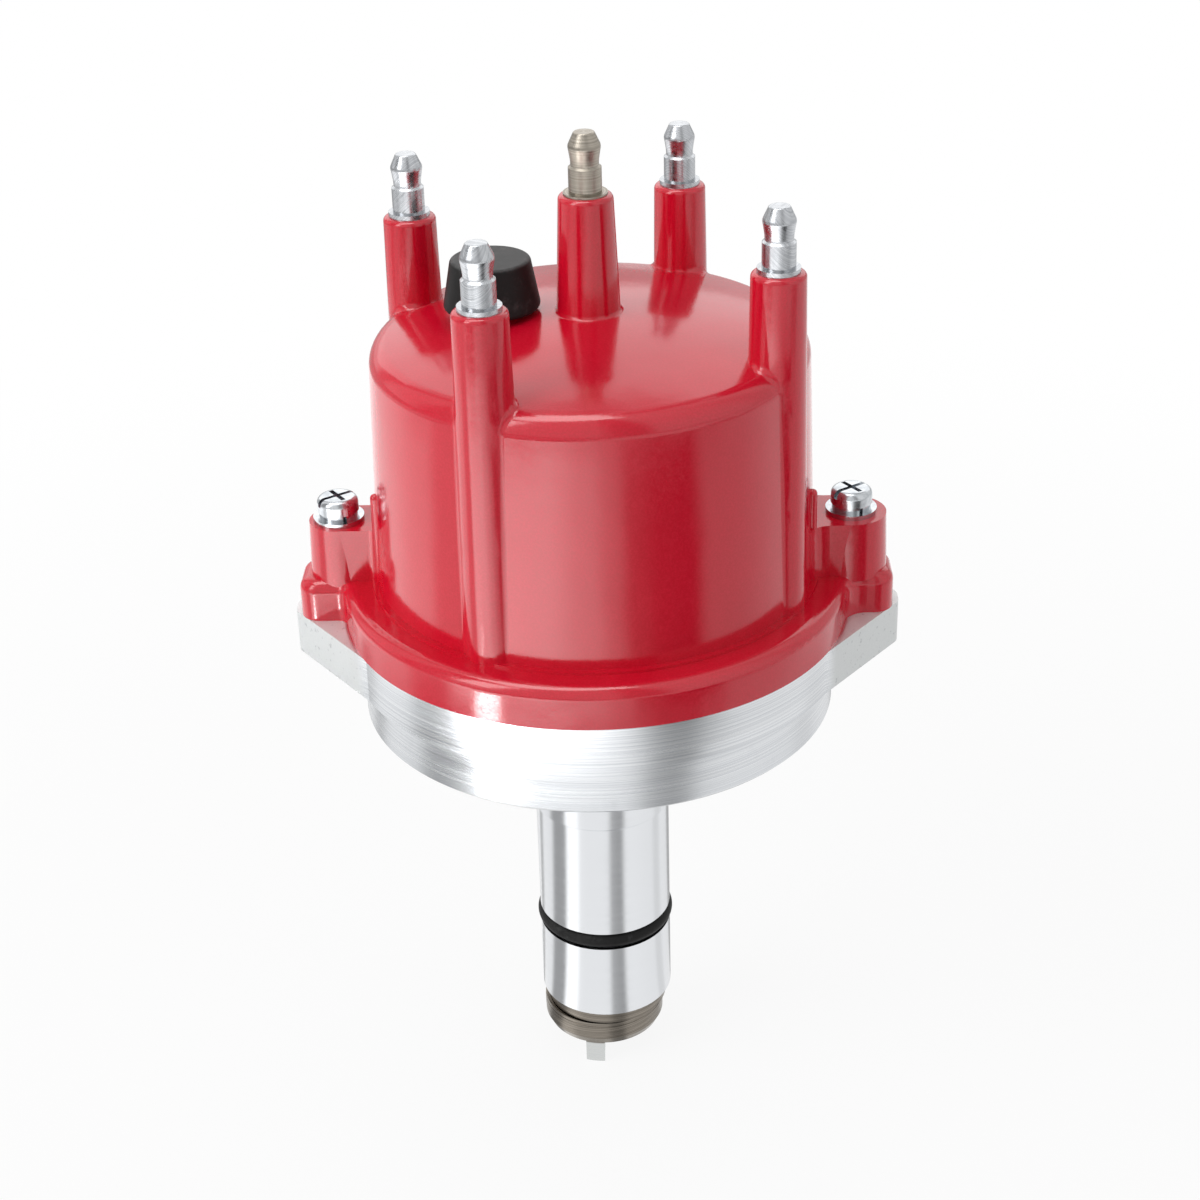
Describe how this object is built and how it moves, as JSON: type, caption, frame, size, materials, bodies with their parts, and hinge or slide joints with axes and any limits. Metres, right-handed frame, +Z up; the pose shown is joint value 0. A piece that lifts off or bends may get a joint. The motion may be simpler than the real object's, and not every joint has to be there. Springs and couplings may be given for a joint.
{
  "type": "ignition distributor",
  "caption": "Engine ignition distributor: turned aluminium bowl and shank with an offset drive tang, glossy cap with outer and centre lead towers, inner rotor and advance weights.",
  "frame": {"origin": "on the drive shaft's axis, in the plane where the 27 mm shank meets the neck's shoulder, where the clamp bracket seats", "axes": "+Z up the shaft towards the cap; +X through the right ear and cap screw as seen from the front; +Y away from the viewer"},
  "size_m": [0.1168, 0.0968, 0.1972],
  "materials": {
    "machined_aluminium": "satin, turned",
    "cap_plastic": "glossy moulded",
    "black_rubber": "smooth",
    "bearing_steel": "ground",
    "bronze": "sintered",
    "cage_brass": "stamped",
    "drive_steel": "hardened, brownish",
    "plated_steel": "plated",
    "spring_steel": "drawn",
    "black_plastic": "moulded",
    "carbon": "pressed",
    "terminal_aluminium": "turned, bright",
    "terminal_nickel": "dull nickel",
    "zinc_plate": "bright zinc"
  },
  "bodies": {
    "body": {"housing": "machined_aluminium", "o_ring": "black_rubber", "lead_grommet": "black_rubber", "lower_bush": "bronze", "bearing_outer_ring": "bearing_steel", "pickup_plate": "plated_steel", "pickup_sensor": "black_plastic", "pickup_screws": "zinc_plate", "ignition_module": "black_plastic", "distributor_cap": "cap_plastic", "terminal_1": "terminal_aluminium", "terminal_2": "terminal_aluminium", "terminal_3": "terminal_aluminium", "terminal_4": "terminal_aluminium", "centre_terminal": "terminal_nickel", "brush_spring": "spring_steel", "vent_cap": "black_rubber", "flat_washer_left": "zinc_plate", "flat_washer_right": "zinc_plate", "lock_washer_left": "zinc_plate", "lock_washer_right": "zinc_plate", "cap_screw_left": "zinc_plate", "cap_screw_right": "zinc_plate"},
    "shaft": {"drive_shaft": "bearing_steel", "bearing_inner_ring": "bearing_steel", "thrust_washer": "drive_steel", "drive_pin": "bearing_steel", "advance_base_plate": "plated_steel", "weight_pivot_pins": "bearing_steel", "spring_posts": "plated_steel", "weight_clips": "plated_steel", "advance_spring_a": "spring_steel", "advance_spring_b": "spring_steel"},
    "dog": {"drive_dog": "drive_steel", "dog_retaining_ring": "drive_steel"},
    "ball_cage": {"bearing_balls": "bearing_steel", "bearing_cage": "cage_brass"},
    "advance": {"advance_sleeve": "plated_steel", "reluctor": "plated_steel", "rotor": "black_plastic", "rotor_blade": "cage_brass", "rotor_contact": "plated_steel"},
    "weight_a": {"advance_weight_a": "plated_steel"},
    "weight_b": {"advance_weight_b": "plated_steel"},
    "brush": {"carbon_brush": "carbon"}
  },
  "joints": [
    {"name": "shaft_spin", "type": "hinge", "parent": "body", "child": "shaft", "pos_m": [0, 0, 0], "axis": [0, 0, 1], "continuous": true},
    {"name": "cage_spin", "type": "hinge", "parent": "body", "child": "ball_cage", "pos_m": [0, 0, 0.0256], "axis": [0, 0, 1], "continuous": true},
    {"name": "dog_float", "type": "slide", "parent": "shaft", "child": "dog", "axis": [1, 0, 0], "range_m": [0, 0.0015]},
    {"name": "advance_turn", "type": "hinge", "parent": "shaft", "child": "advance", "pos_m": [0, 0, 0.04], "axis": [0, 0, 1], "range_deg": [0, 12], "stiffness_Nm_per_rad": 0.3},
    {"name": "weight_swing_a", "type": "hinge", "parent": "shaft", "child": "weight_a", "pos_m": [0.022, 0, 0.034], "axis": [0, 0, 1], "range_deg": [-12, 0], "deforming": ["advance_spring_a"]},
    {"name": "weight_swing_b", "type": "hinge", "parent": "shaft", "child": "weight_b", "pos_m": [-0.022, 0, 0.034], "axis": [0, 0, 1], "range_deg": [-12, 0], "deforming": ["advance_spring_b"]},
    {"name": "brush_slide", "type": "slide", "parent": "body", "child": "brush", "axis": [0, 0, 1], "range_m": [0, 0.0015], "stiffness_N_per_m": 150, "deforming": ["brush_spring"]}
  ],
  "couplings": [
    {"joint": "cage_spin", "follows": "shaft_spin", "ratio": 0.41667},
    {"joint": "weight_swing_a", "follows": "advance_turn", "ratio": -1},
    {"joint": "weight_swing_b", "follows": "advance_turn", "ratio": -1}
  ]
}
